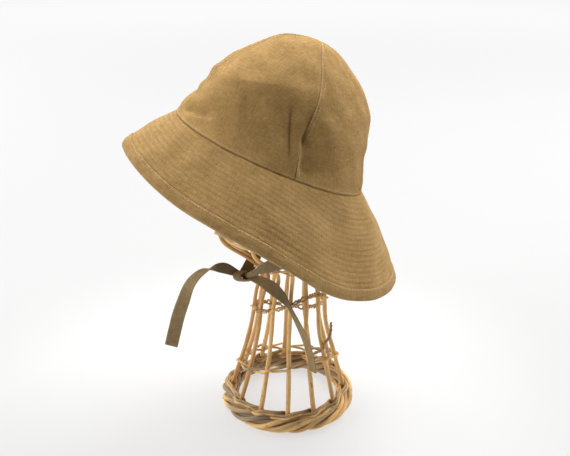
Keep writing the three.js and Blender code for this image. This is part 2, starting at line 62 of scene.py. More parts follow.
# Uniform Catmull-Rom: at each share of a span, the cubic through its two rows
# with the slopes of their neighbours.
def smoothCurve(rows, count):
    rows = np.asarray(rows, float)
    ends = np.concatenate([2 * rows[:1] - rows[1:2], rows, 2 * rows[-1:] - rows[-2:-1]])
    at = np.linspace(0, len(rows) - 1, count)
    i = np.minimum(at.astype(int), len(rows) - 2)
    f = (at - i)[:, None]
    a, b, c, d = (ends[i + k] for k in range(4))
    return 0.5 * (2 * b + (c - a) * f + (2 * a - 5 * b + 4 * c - d) * f**2 + (3 * b - a - 3 * c + d) * f**3)


def lengthAlong(path):
    steps = np.linalg.norm(np.diff(path, axis=0), axis=1)
    return np.concatenate([[0], np.cumsum(steps)])


# Rings round a path: centre plus radius times (cosine of the turn sideways, sine of it square to that).
# The sideways direction is square to the path and to the vector given. Open ends are closed by domes.
def tube(path, radius, square, sides, closed=False):
    radius = np.broadcast_to(np.asarray(radius, float), len(path)).copy()
    along = unit(np.gradient(path, axis=0))
    if closed:
        along[0] = along[-1] = unit(path[1] - path[-2])
    else:
        dome = np.radians([90, 65, 35])
        first = path[0] - along[0] * radius[0] * np.sin(dome)[:, None]
        last = path[-1] + along[-1] * radius[-1] * np.sin(dome[::-1])[:, None]
        path = np.concatenate([first, path, last])
        along = np.concatenate([along[:1].repeat(3, 0), along, along[-1:].repeat(3, 0)])
        radius = np.concatenate([radius[0] * np.cos(dome), radius, radius[-1] * np.cos(dome[::-1])])
        square = np.broadcast_to(square, (len(path) - 6, 3))
        square = np.concatenate([square[:1].repeat(3, 0), square, square[-1:].repeat(3, 0)])
    aside = unit(np.cross(along, square))
    above = np.cross(aside, along)
    turn = np.linspace(0, 2 * np.pi, sides + 1)
    ring = np.cos(turn)[:, None] * aside[:, None] + np.sin(turn)[:, None] * above[:, None]
    points = path[:, None] + radius[:, None, None] * ring
    around = np.broadcast_to(turn * np.mean(radius), points.shape[:2])
    onwards = np.broadcast_to(lengthAlong(path)[:, None], points.shape[:2])
    return points, np.stack([around, onwards], -1)


def addObject(name, data):
    made = bpy.data.objects.new(name, data)
    scene.collection.objects.link(made)
    return made


# One piece from one or more grids of points: every cell is a face, and points in the same place are welded.
# A grid is (points, uv, values by attribute name), and may be many small grids of one size.
def makePiece(name, grids, material, nodes=()):
    points, uvs, faces, values, start = [], [], [], {}, 0
    for grid, uv, extra in grids:
        rows, cols = grid.shape[-3:-1]
        many = grid.reshape(-1, rows, cols, 3)
        corner = np.arange(rows * cols).reshape(rows, cols)
        square = [corner[:-1, :-1], corner[:-1, 1:], corner[1:, 1:], corner[1:, :-1]]
        cell = np.stack(square, -1).reshape(-1, 4)
        firsts = start + np.arange(len(many))[:, None, None] * rows * cols
        faces.append((cell[None] + firsts).reshape(-1, 4))
        points.append(many.reshape(-1, 3))
        uvs.append(np.broadcast_to(uv, grid.shape[:-1] + (2,)).reshape(-1, 2))
        for key, value in extra.items():
            values.setdefault(key, []).append(np.broadcast_to(value, grid.shape[:-1]).ravel())
        start += len(points[-1])
    points, uvs, faces = np.concatenate(points), np.concatenate(uvs), np.concatenate(faces)
    mesh = bpy.data.meshes.new(name)
    mesh.from_pydata(((points + standAt) * millimetre).tolist(), [], faces.tolist())
    clothMap = mesh.uv_layers.new(name="clothMap").uv
    clothMap.foreach_set("vector", uvs[faces.ravel()].astype(np.float32).ravel())
    for key, parts in values.items():
        layer = mesh.attributes.new(key, "FLOAT", "POINT")
        layer.data.foreach_set("value", np.concatenate(parts).astype(np.float32))
    welded = bmesh.new()
    welded.from_mesh(mesh)
    bmesh.ops.remove_doubles(welded, verts=welded.verts, dist=2e-6)
    welded.to_mesh(mesh)
    welded.free()
    mesh.polygons.foreach_set("use_smooth", np.ones(len(mesh.polygons), bool))
    mesh.materials.append(material)
    piece = addObject(name, mesh)
    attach(piece, "root")
    if nodes:
        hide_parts(*nodes)
    return piece


# Camera: the photograph's place and angle, from the foot's middle.
cameraView = {"position": (755.1, -155.87, 541.44), "pitchDeg": 23.45, "turnDeg": 78.5,
              "focalPx": 835.0, "imageWidthPx": 570.0, "sensorMm": 36.0}
lens = bpy.data.cameras.new("photoView")
lens.sensor_width = cameraView["sensorMm"]
lens.lens = cameraView["focalPx"] / cameraView["imageWidthPx"] * cameraView["sensorMm"]
lens.clip_start, lens.clip_end = 0.01, 100
camera = addObject("photoView", lens)
camera.location = (np.array(cameraView["position"]) + standAt) * millimetre
camera.rotation_euler = np.radians([90 - cameraView["pitchDeg"], 0, cameraView["turnDeg"]])
bpy.context.scene.camera = camera
print("camera set")


# Shader helpers. An input is linked to a socket or set to a value.
def setInputs(tree, node, inputs):
    for key, value in inputs.items():
        if isinstance(value, bpy.types.NodeSocket):
            tree.links.new(value, node.inputs[key])
        else:
            node.inputs[key].default_value = value


def addNode(tree, kind, inputs=None, **settings):
    node = tree.nodes.new(kind)
    for key, value in settings.items():
        setattr(node, key, value)
    setInputs(tree, node, inputs or {})
    return node


def maths(tree, operation, a, b=0.0, clamp=False):
    return addNode(tree, "ShaderNodeMath", {0: a, 1: b}, operation=operation, use_clamp=clamp).outputs[0]


def times(tree, a, b, clamp=False):
    return maths(tree, "MULTIPLY", a, b, clamp)


def mixColour(tree, share, a, b):
    return addNode(tree, "ShaderNodeMix", {0: share, 6: a, 7: b}, data_type="RGBA").outputs[2]


def stretchedNoise(tree, place, scale, detail=2.0, roughness=0.55):
    stretched = addNode(tree, "ShaderNodeVectorMath", {0: place, 1: scale}, operation="MULTIPLY").outputs[0]
    settings = {"Vector": stretched, "Scale": 1.0, "Detail": detail, "Roughness": roughness}
    return addNode(tree, "ShaderNodeTexNoise", settings).outputs["Fac"]


# 0 up to the low value and 1 from the high value on.
def ramp(tree, value, low, high):
    ends = {"Value": value, "From Min": low, "From Max": high}
    return addNode(tree, "ShaderNodeMapRange", ends).outputs[0]


def startGroup(name, ins, outs):
    group = bpy.data.node_groups.new(name, "ShaderNodeTree")
    for label, kind, value in ins:
        socket = group.interface.new_socket(label, in_out="INPUT", socket_type=kind)
        if value is not None:
            socket.default_value = value
    for label in outs:
        group.interface.new_socket(label, in_out="OUTPUT", socket_type="NodeSocketFloat")
    return group, addNode(group, "NodeGroupInput").outputs, addNode(group, "NodeGroupOutput").inputs


# Plain weave: bumps where a yarn passes over another, streaks of thick and thin yarns both ways,
# slow mottling, and slubs where a yarn is thick for a short way.
def makeWeaveGroup():
    group, ins, outs = startGroup(
        "canvasWeave", [("Place", "NodeSocketVector", None), ("Yarn", "NodeSocketFloat", 0.8)],
        ["Height", "Streaks", "Mottling", "Slubs"])
    wobble = stretchedNoise(group, ins["Place"], (0.25, 0.25, 0.25), 1.0)
    axes = addNode(group, "ShaderNodeSeparateXYZ", {0: ins["Place"]}).outputs
    waves = []
    for axis in (axes[0], axes[1]):
        phase = maths(group, "DIVIDE", times(group, axis, np.pi), ins["Yarn"])
        loose = maths(group, "ADD", phase, times(group, wobble, 5.0))
        waves.append(maths(group, "SINE", loose))
    crossing = times(group, waves[0], waves[1])
    warp = stretchedNoise(group, ins["Place"], (0.62, 0.13, 1.0), 2.0, 0.6)
    weft = stretchedNoise(group, ins["Place"], (0.13, 0.62, 1.0), 2.0, 0.6)
    streaks = times(group, maths(group, "ADD", warp, weft), 0.5)
    bumps = times(group, crossing, 0.5)
    rise = maths(group, "ADD", bumps, times(group, streaks, 2.5))
    group.links.new(rise, outs["Height"])
    group.links.new(streaks, outs["Streaks"])
    group.links.new(stretchedNoise(group, ins["Place"], (0.045, 0.045, 0.045), 4.0, 0.62), outs["Mottling"])
    thick = stretchedNoise(group, ins["Place"], (0.22, 0.85, 1.0), 1.0)
    group.links.new(ramp(group, thick, 0.63, 0.75), outs["Slubs"])
    return group


# Willow rod: fine streaks along the rod, slow change of tone, dark joints where a twig was trimmed.
def makeRodGroup():
    group, ins, outs = startGroup(
        "willowGrain", [("Place", "NodeSocketVector", None)], ["Streaks", "Tone", "Joints"])
    group.links.new(stretchedNoise(group, ins["Place"], (1.6, 0.06, 1.0), 4.0, 0.6), outs["Streaks"])
    group.links.new(stretchedNoise(group, ins["Place"], (0.12, 0.035, 1.0), 3.0, 0.6), outs["Tone"])
    spots = stretchedNoise(group, ins["Place"], (0.3, 0.09, 1.0), 1.0)
    group.links.new(ramp(group, spots, 0.66, 0.74), outs["Joints"])
    return group


weaveGroup = makeWeaveGroup()
rodGroup = makeRodGroup()


# A new material with a pattern that follows the cloth map: the material, its tree, shader and pattern.
def startMaterial(name, group):
    material = bpy.data.materials.new(name)
    material.use_nodes = True
    tree = material.node_tree
    place = addNode(tree, "ShaderNodeUVMap", uv_map="clothMap").outputs[0]
    pattern = addNode(tree, "ShaderNodeGroup", node_tree=group)
    tree.links.new(place, pattern.inputs["Place"])
    return material, tree, tree.nodes["Principled BSDF"], pattern


def addBump(tree, shader, height, strength, distance):
    relief = addNode(tree, "ShaderNodeBump", {"Height": height, "Strength": strength, "Distance": distance})
    setInputs(tree, shader, {"Normal": relief.outputs[0]})


# Cotton canvas: colour between a darker and a faded tone by streaks and mottling, paler at slubs
# and where worn. Below zero that attribute is painted shade: the cloth darkens in creases, grooves and
# shadowed strap.
def makeCanvas(name, dark, light, worn, yarn, roughness=0.92, bump=0.45, contrast=2.6, mottled=1.2):
    material, tree, shader, weave = startMaterial(name, weaveGroup)
    weave.inputs["Yarn"].default_value = yarn
    tone = maths(tree, "ADD", times(tree, weave.outputs["Streaks"], contrast),
                 times(tree, weave.outputs["Mottling"], mottled))
    share = maths(tree, "SUBTRACT", tone, (contrast + mottled) / 2 - 0.5, clamp=True)
    colour = mixColour(tree, share, (*dark, 1), (*light, 1))
    wearAndShade = addNode(tree, "ShaderNodeAttribute", attribute_name="wearAndShade").outputs["Fac"]
    rubbed = times(tree, wearAndShade, maths(tree, "ADD", share, 0.35), clamp=True)
    slubbed = maths(tree, "MAXIMUM", rubbed, times(tree, weave.outputs["Slubs"], 0.22))
    colour = mixColour(tree, slubbed, colour, (*worn, 1))
    # Painted shade: a value below zero darkens the colour towards a deep tone.
    unfaded = times(tree, wearAndShade, -1.0, clamp=True)
    colour = mixColour(tree, unfaded, colour, (*(0.3 * np.array(dark)), 1))
    rough = maths(tree, "SUBTRACT", roughness + 0.04, times(tree, share, 0.08))
    addBump(tree, shader, weave.outputs["Height"], bump, 0.0005)
    setInputs(tree, shader, {"Base Color": colour, "Roughness": rough, "Sheen Weight": 0.04,
                             "Sheen Roughness": 0.6, "Specular IOR Level": 0.08})
    return material


# Willow: honey to brown by the rod's shade attribute, streaked along its length. The attribute is the rod's
# own tone, and on the foot's border it also carries painted light and shade.
def makeWillow(name, pale, deep, joint, roughness):
    material, tree, shader, grain = startMaterial(name, rodGroup)
    shade = addNode(tree, "ShaderNodeAttribute", attribute_name="shade").outputs["Fac"]
    streak = maths(tree, "SUBTRACT", times(tree, grain.outputs["Streaks"], 1.4), 0.7)
    tone = maths(tree, "SUBTRACT", times(tree, grain.outputs["Tone"], 1.8), 0.9)
    share = maths(tree, "ADD", maths(tree, "ADD", streak, tone), shade, clamp=True)
    colour = mixColour(tree, share, (*pale, 1), (*deep, 1))
    colour = mixColour(tree, times(tree, grain.outputs["Joints"], 0.6), colour, (*joint, 1))
    rough = maths(tree, "ADD", times(tree, grain.outputs["Streaks"], 0.25), roughness - 0.12)
    addBump(tree, shader, grain.outputs["Streaks"], 0.4, 0.0006)
    setInputs(tree, shader, {"Base Color": colour, "Roughness": rough, "Specular IOR Level": 0.4})
    return material


canvas = makeCanvas("tanCanvas", (0.310, 0.180, 0.058), (0.495, 0.310, 0.117), (0.66, 0.47, 0.24), 0.8)
hemCanvas = makeCanvas("hemCanvas", (0.290, 0.170, 0.058), (0.455, 0.288, 0.112), (0.64, 0.46, 0.24), 0.8)
strapCanvas = makeCanvas("strapCanvas", (0.240, 0.168, 0.078), (0.390, 0.278, 0.142), (0.47, 0.36, 0.21), 0.7)
thread = makeCanvas("paleThread", (0.40, 0.26, 0.105), (0.58, 0.41, 0.20), (0.76, 0.62, 0.42), 0.4, bump=0.1)
willow = makeWillow("honeyWillow", (0.90, 0.60, 0.24), (0.62, 0.31, 0.095), (0.20, 0.11, 0.045), 0.5)
weaver = makeWillow("brownWeaver", (0.94, 0.59, 0.225), (0.35, 0.255, 0.160), (0.12, 0.08, 0.045), 0.62)
print("materials made")


# The hat's own level frame: the origin is the middle of the crown's lower edge.
hat = {"halfWidth": 87.0, "halfLength": 97.0, "crownHeight": 112.5, "crownPower": 1.47, "cloth": 2.0,
       "seat": (-4.5, -15.0, 289.7), "tipDeg": 25.4, "rollDeg": 1.75}
meanHalf = (hat["halfWidth"] + hat["halfLength"]) / 2
upright = np.array([0, 0, 1.0])


# From the hat's frame to the stand's: rolled about Y, then tipped about X, then moved to its seat.
def onStand(points):
    tip, roll = np.radians([-hat["tipDeg"], -hat["rollDeg"]])
    aboutX = np.array([[1, 0, 0], [0, np.cos(tip), -np.sin(tip)], [0, np.sin(tip), np.cos(tip)]])
    aboutY = np.array([[np.cos(roll), 0, np.sin(roll)], [0, 1, 0], [-np.sin(roll), 0, np.cos(roll)]])
    return points @ (aboutX @ aboutY).T + np.array(hat["seat"])


def turnBetween(start, end):
    return (end - start + 540) % 360 - 180


# A slow unevenness: waves of seeded directions and lengths, added up and divided by their number's root.
def unevenness(across, along, waveMm, count, seed):
    source = np.random.default_rng(seed)
    way = source.uniform(0, 2 * np.pi, count)
    pace = 2 * np.pi / (waveMm * source.uniform(0.7, 1.5, count))
    start = source.uniform(0, 2 * np.pi, count)
    phase = across[..., None] * np.cos(way) * pace + along[..., None] * np.sin(way) * pace + start
    return np.sin(phase).sum(-1) / np.sqrt(count)


def eased(share):
    return share**2 * (3 - 2 * share)


# Dents and folds of the crown. angle is in degrees round the head from the front, over the wearer's left.
# height is a share of the crown's, turn is in degrees from level, long is a half length in mm, and depth
# is in mm, outwards if positive. above and below are half widths in mm over the fold's line and under it,
# or before it and behind it where the fold stands upright. power is 2 for a soft bell and 1 for a crease,
# and dark is painted shade: how far the cloth in the fold is darkened. seamSway is how far the seams
# wander round the head as they rise, in degrees, and outline is how far the slack cloth stands out in front
# and behind, in mm. foldFade is the share of the height over which folds fade out at both ends.
crown = {
    "folds": table(
        "name angle height turn long above below depth power dark",
        ("brink of the hollow", 48, 0.51, 21, 42, 35, 42, 7.5, 1.2, 0),
        ("front hollow", 55, 0.19, 6, 40, 38, 25, -8, 2, 0),
        ("dent under the brink", 73, 0.47, 20, 10, 6, 12, -3, 2, 0.05),
        ("dent before it", 52, 0.4, 20, 9, 7, 14, -2, 2, 0.05),
        ("crease before the side seam", 80.8, 0.3, 106, 28, 2.2, 3, -3.2, 1, 0.3),
        ("tuck along the side seam", 90, 0.37, 92, 17, 8, 3.5, -4, 1, 0.35),
        ("hollow behind the seam", 92.5, 0.2, 99, 24, 3, 22, -7, 2, 0),
        ("swell behind the seam", 100, 0.52, 99, 43, 22, 30, 3, 2, 0),
        ("ridge down the back", 150, 0.16, 90, 30, 4, 4, 1.5, 2, 0),
        ("dent over the front seam", 20, 0.11, 20, 18, 12, 4, -5.5, 2, 0),
        ("far side hollow", 285, 0.35, 80, 34, 26, 26, -5, 2, 0),
    ),
    "seamSway": table("height turn", (0, 2.3), (0.22, 0), (0.7, 0), (1, -6.0)),
    "outline": table(
        "height front back",
        (0.0, 0.0, 0.0), (0.08, -0.2, -1.0), (0.16, -2.0, -2.9), (0.22, -4.3, -4.3),
        (0.28, -2.3, -4.3), (0.36, -2.4, -1.8), (0.44, 1.4, -0.4), (0.52, 0.8, 1.2),
        (0.6, 0.9, 3.3), (0.7, 0.5, 2.7), (0.8, -0.2, 1.6), (0.9, 1.7, -0.6),
        (1.0, 0.0, 0.0),
    ),
    "frontAngle": 352, "frontHalf": 24, "backAngle": 166, "backHalf": 26,
    "mmPerDegree": 1.4, "mmOfHeight": 150.0, "foldFade": 0.06,
    "unevenMm": 0.35, "uneven": {"waveMm": 26, "count": 9, "seed": 3},
    "seamRadius": 0.7, "fellWidth": 4.2, "fellRise": 0.35, "fellEdge": 0.35, "fellFade": 0.1,
    "seamStitchAt": 3.4, "stitchDip": 0.2, "stitchDipHalf": 0.6, "edgeWear": 0.6, "seamWear": 0.6,
    "lipOut": 0.7, "lipTall": 1.8, "lipDown": 1.2,
    "panels": {"front_left": 0, "back_left": 90, "back_right": 180, "front_right": 270},
    "columns": 116, "evenColumns": 0.4, "rows": 130, "rowEasing": 1.5,
}


# A value up the crown from a table's column: the cubic between two rows,
# with the slope of each row's neighbours.
def upCrown(rows, column, height):
    heights, values = (np.array([row[key] for row in rows]) for key in ("height", column))
    at = np.arange(len(rows))
    before, after = np.maximum(at - 1, 0), np.minimum(at + 1, len(rows) - 1)
    slopes = (values[after] - values[before]) / (heights[after] - heights[before])
    i = np.clip(np.searchsorted(heights, height, side="right") - 1, 0, len(rows) - 2)
    span = heights[i + 1] - heights[i]
    share = np.clip((height - heights[i]) / span, 0, 1)
    bend = span * share * (1 - share) * (slopes[i] * (1 - share) - slopes[i + 1] * share)
    return values[i] * (1 - eased(share)) + values[i + 1] * eased(share) + bend


# A column of the folds' table added up: each fold is a bell across its line, or a sharp crease
# where its power is 1, level along it and eased at the ends.
def foldSum(column, angle, height):
    total = np.zeros(np.broadcast(angle, height).shape)
    for fold in crown["folds"]:
        across = turnBetween(fold["angle"], angle) * crown["mmPerDegree"]
        rise = (height - fold["height"]) * crown["mmOfHeight"]
        turn = np.radians(fold["turn"])
        along = across * np.cos(turn) + rise * np.sin(turn)
        aside = rise * np.cos(turn) - across * np.sin(turn)
        wide = np.where(aside > 0, fold["above"], fold["below"])
        bell = np.exp(-((along / fold["long"]) ** 4) - np.abs(aside / wide) ** fold["power"])
        total = total + fold[column] * bell
    return total


# How far the cloth is pushed out, by the folds and by its slack at the front and the back.
def foldDepth(angle, height):
    total = foldSum("depth", angle, height)
    for side in ("front", "back"):
        near = np.exp(-((turnBetween(crown[side + "Angle"], angle) / crown[side + "Half"]) ** 2))
        total = total + upCrown(crown["outline"], side, height) * near
    return total


def crownShare(height):
    return np.sqrt(np.maximum(0, 1 - np.clip(height, 0, 1) ** hat["crownPower"]))


# A point of the crown: an oval that closes in as it rises, pushed along its normal by folds and lift.
# Below height 0 it goes straight down, and its lower edge stands out as a lip.
def crownPoint(angle, height, lift):
    a, up = np.radians(angle), np.clip(height, 0, 1)
    share = crownShare(up)
    steep = meanHalf * hat["crownPower"] * np.maximum(up, 1e-9) ** (hat["crownPower"] - 1)
    flat = 2 * hat["crownHeight"] * share
    normal = unit(np.stack(np.broadcast_arrays(np.sin(a) * flat, -np.cos(a) * flat, steep), -1))
    fade = np.minimum(1, up / crown["foldFade"]) * np.minimum(1, (1 - up) / crown["foldFade"])
    across, along = angle * crown["mmPerDegree"], height * crown["mmOfHeight"]
    uneven = unevenness(across, along, **crown["uneven"]) * crown["unevenMm"]
    lip = crown["lipOut"] * np.exp(-((np.maximum(height, 0) * hat["crownHeight"] / crown["lipTall"]) ** 2))
    push = (foldDepth(angle, up) + uneven) * fade + lip + lift
    x, y = hat["halfWidth"] * np.sin(a) * share, -hat["halfLength"] * np.cos(a) * share
    base = np.stack(np.broadcast_arrays(x, y, hat["crownHeight"] * height), -1)
    return base + normal * push[..., None]


# One crown panel: down the inner face, round the lower edge and up the outer face, between two seams.
# Close to a seam the outer face rolls in. Behind the seam lies the felled strip, a little proud.
def crownPanel(name, start):
    share = np.linspace(0, 1, crown["columns"])
    even = crown["evenColumns"]
    angle = start + 90 * (even * share + (1 - even) * (1 - np.cos(np.pi * share)) / 2)
    climb = 1 - (1 - np.linspace(0, 1, crown["rows"])) ** crown["rowEasing"]
    inner = climb[::-4]
    bottom = -crown["lipDown"] / hat["crownHeight"]
    half = hat["cloth"] / 2
    bend = np.radians(np.linspace(-90, 90, 9))[1:-1]
    edge = bottom - half / hat["crownHeight"] * np.cos(bend)
    height = np.concatenate([inner, [bottom], edge, [bottom], climb])
    inside, outside = np.full(len(inner) + 1, 2 * half), np.zeros(len(climb) + 1)
    depth = np.concatenate([inside, half * (1 - np.sin(bend)), outside])
    height, angle = np.meshgrid(height, angle, indexing="ij")
    depth = np.broadcast_to(depth[:, None], height.shape)
    outer = depth < half
    afterSeam = np.radians(angle - start) * meanHalf * crownShare(height)
    fromSeam = np.radians(45 - np.abs(angle - start - 45)) * meanHalf * crownShare(height)
    rolled = np.sqrt(1 - (1 - np.minimum(fromSeam / crown["seamRadius"], 1)) ** 2)
    pastFell = np.exp((afterSeam - crown["fellWidth"]) / crown["fellEdge"])
    fell = crown["fellRise"] / (1 + pastFell) * np.clip((1 - height) / crown["fellFade"], 0, 1)
    fromStitch = (afterSeam - crown["seamStitchAt"]) / crown["stitchDipHalf"]
    dip = crown["stitchDip"] * np.exp(-(fromStitch**2))
    lift = -(2 * half - (2 * half - depth) * (0.6 + 0.4 * rolled)) + (fell - dip) * outer
    lift = np.where(fromSeam < 1e-6, -half * 0.8 - 0.6 * depth, lift)
    points = crownPoint(angle + upCrown(crown["seamSway"], "turn", height), height, lift)
    across = np.radians(angle - start - 45) * meanHalf * crownShare(height)
    uv = np.stack([across, height * crown["mmOfHeight"]], -1)
    atEdge = np.exp(-((height * hat["crownHeight"] - 0.2) / 0.65) ** 2) * (depth < 1.2 * half)
    atSeam = np.exp(-((afterSeam - 0.5) / 0.5) ** 2) * outer
    worn = np.maximum(crown["edgeWear"] * atEdge, crown["seamWear"] * atSeam)
    # Edges and seams are worn paler, and the folds' dark column paints shade into creases and tucks.
    wearAndShade = worn - foldSum("dark", angle, height) * outer
    grid = (onStand(points), uv, {"wearAndShade": wearAndShade})
    makePiece("crownPanel_" + name, [grid], canvas, ["crown_panel_" + name])


for panelName, panelStart in crown["panels"].items():
    crownPanel(panelName, panelStart)
print("crown made")


# Brim: sections from the front to the back, the same on both sides, with soft folds that run down it and
# come up over the share ridgeRise. Rows of quilting run parallel to its edge, and the hem is bound over it.
brim = {
    "reach": (36.5, 32.5, 51.5, 59.0, 76.8), "drop": (48.5, 58.3, 63.0, 81.0, 70.0),
    "bow": (1.6, 1.0, 2.5, 0.0, 2.2),
    "folds": table(
        "name start end half depth",
        ("back ridge", 156, 138, 8, 4.5),
        ("side dip", 116, 122, 14, -2.5),
    ),
    "rowStep": 5.0, "puff": 0.36, "groovePaintedShade": 0.08, "groove": 0.45, "puffWear": 0.25,
    "unevenMm": 0.5, "uneven": {"waveMm": 34, "count": 8, "seed": 5}, "mmPerDegree": 2.2, "mmDeep": 80,
    "ridgeRise": 0.3, "tuck": 2.0, "tuckMm": 2.4, "gap": 0.3,
    "hemWidth": 11.0, "hemCloth": 1.1, "edgeIn": 1.9, "columns": 361, "rows": 180, "underRows": 36,
}


# A value round the head through equally spaced sections: the cosine series with as many terms.
def roundHead(sections, angle):
    last = len(sections) - 1
    j = np.arange(last + 1)
    half = np.where((j == 0) | (j == last), 0.5, 1.0)
    waves = np.cos(np.pi * np.outer(j, j) / last)
    terms = 2 / last * half * (waves @ (half * np.array(sections)))
    return np.tensordot(np.cos(np.radians(angle)[..., None] * j), terms, 1)


def brimSlant(angle):
    return np.hypot(roundHead(brim["reach"], angle), roundHead(brim["drop"], angle))


# A point of the brim: straight out and down from the crown's edge, bowed, ridged by its folds.
# out is 0 at the crown and 1 at the edge, and lift is measured from the upper face.
def brimPoint(angle, out, lift):
    a = np.radians(angle)
    outwards = unit(np.stack([np.sin(a) / hat["halfWidth"], -np.cos(a) / hat["halfLength"], 0 * a], -1))
    reach, drop = roundHead(brim["reach"], angle), roundHead(brim["drop"], angle)
    normal = unit(outwards * drop[..., None] + upright * reach[..., None])
    bow = roundHead(brim["bow"], angle) * np.sin(np.pi * np.clip(out, 0, 1))
    ridge = 0
    for fold in brim["folds"]:
        middle = fold["start"] + (fold["end"] - fold["start"]) * out
        ridge = ridge + fold["depth"] * np.exp(-((turnBetween(middle, angle) / fold["half"]) ** 2))
    across, along = angle * brim["mmPerDegree"], out * brim["mmDeep"]
    uneven = unevenness(across, along, **brim["uneven"]) * brim["unevenMm"]
    tuck = brim["tuck"] * np.exp(-((np.maximum(out, 0) * np.hypot(reach, drop) / brim["tuckMm"]) ** 2))
    seam = np.stack([hat["halfWidth"] * np.sin(a), -hat["halfLength"] * np.cos(a), 0 * a - brim["gap"]], -1)
    point = seam + outwards * (reach * out + bow)[..., None] - upright * (drop * out - bow)[..., None]
    rise = (ridge + uneven) * np.clip(out / brim["ridgeRise"], 0, 1) - tuck + lift
    return point + normal * rise[..., None]


def brimPiece():
    angle = np.linspace(0, 360, brim["columns"])
    upper = np.linspace(1, -0.02, brim["rows"])
    lower = np.linspace(-0.02, 1, brim["underRows"])
    out = np.concatenate([upper, lower, upper[:1]])
    under = np.concatenate([np.zeros(len(upper)), np.ones(len(lower)), [0]])
    out, angle = np.meshgrid(out, angle, indexing="ij")
    out = np.minimum(out, 1 - brim["edgeIn"] / brimSlant(angle))
    under = np.broadcast_to(under[:, None], out.shape)
    fromHem = brimSlant(angle) * (1 - out) - brim["hemWidth"]
    puff = brim["puff"] * (np.abs(np.sin(np.pi * fromHem / brim["rowStep"])) ** 0.6 - 0.6)
    lift = puff * (1 - 1.6 * under) - hat["cloth"] * under
    points = brimPoint(angle, out, lift)
    uv = np.stack([angle * 2.0, brimSlant(angle) * out], -1)
    fromRow = brim["rowStep"] * np.abs((fromHem / brim["rowStep"] + 0.5) % 1 - 0.5)
    groove = np.exp(-((fromRow / brim["groove"]) ** 2))
    # Puffs between the rows are worn paler, and the grooves between them get painted shade.
    wearAndShade = brim["puffWear"] * np.clip(puff / brim["puff"], 0, 1) - brim["groovePaintedShade"] * groove
    makePiece("brimCloth", [(onStand(points), uv, {"wearAndShade": wearAndShade})], canvas, ["brim"])


# Binding round the brim's edge: from its upper inner edge over the edge to its lower inner edge,
# and back inside. offEdge is the distance in from the edge, negative past it.
def hemPiece():
    wide = brim["hemWidth"]
    thick = brim["hemCloth"]
    turnRadius = hat["cloth"] / 2 + thick
    turn = np.radians(np.linspace(90, -90, 13))
    topIn = wide + np.array([0, 0.1, -0.25, -0.8])
    topFace = np.linspace(wide - 1.6, 2.4, 12)
    roundEdge = brim["edgeIn"] - brim["edgeIn"] * np.cos(turn)
    offEdge = np.concatenate([topIn, topFace, roundEdge, topFace[::-1], topIn[::-1]])
    puffed = 0.3 * np.sin(np.pi * (topFace - 2.4) / (wide - 4)) + thick
    topRise = np.array([0.05, 0.45, 0.85, 1.0]) * thick
    middle = -hat["cloth"] / 2
    rise = np.concatenate([topRise, puffed, middle + turnRadius * np.sin(turn),
                           -hat["cloth"] - puffed[::-1], -hat["cloth"] - topRise[::-1]])
    offEdge, rise = np.append(offEdge, offEdge[0]), np.append(rise, rise[0])
    angle = np.linspace(0, 360, 481)
    offGrid, angle = np.meshgrid(offEdge, angle, indexing="ij")
    rise = np.broadcast_to(rise[:, None], offGrid.shape)
    pucker = 0.14 * unevenness(angle * 2.3, offGrid, 9, 7, 8) * (np.abs(rise) > 0.2)
    points = brimPoint(angle, 1 - offGrid / brimSlant(angle), rise + pucker)
    uv = np.stack([angle * 2.3, offGrid + np.where(rise < middle, 40, 0)], -1)
    edgeWear = 0.3 * np.exp(-((offGrid - 0.2) / 0.8) ** 2)
    foldWear = 0.35 * np.exp(-((offGrid - wide + 0.4) / 0.5) ** 2)
    grid = (onStand(points), uv, {"wearAndShade": edgeWear + foldWear})
    makePiece("brimBinding", [grid], hemCanvas, ["brim_hem"])


brimPiece()
hemPiece()
print("brim and binding made")


# Stitches: each is a short rod that rises out of the cloth and sinks back, round in section.
# surface(u, v, lift) gives points, and a stitch runs straight from (u0, v0) to (u1, v1) on it.
stitching = {"pitch": 3.3, "length": 2.4, "width": 0.55, "height": 0.3, "hemIn": 1.6}


def stitchGrid(surface, u0, v0, u1, v1):
    share = np.linspace(0, 1, 5)
    u = u0[:, None] + (u1 - u0)[:, None] * share
    v = v0[:, None] + (v1 - v0)[:, None] * share
    rise = stitching["height"] * (np.sin(np.pi * share) - 0.35)
    centre = surface(u, v, np.broadcast_to(rise, u.shape))
    normal = unit(surface(u, v, np.broadcast_to(rise + 1, u.shape)) - centre)
    along = unit(np.gradient(centre, axis=1))
    aside = np.cross(along, normal)
    turn = np.linspace(0, 2 * np.pi, 6)
    girth = stitching["width"] / 2 * np.array([0.0, 0.85, 1.0, 0.85, 0.0])
    ring = np.cos(turn)[:, None] * aside[:, :, None] + np.sin(turn)[:, None] * normal[:, :, None]
    return onStand(centre[:, :, None] + girth[:, None, None] * ring)


def evenStarts(total, pitch, length):
    start = np.arange(0, total - length, pitch)
    return start + rng.uniform(-0.15, 0.15, len(start)) * pitch


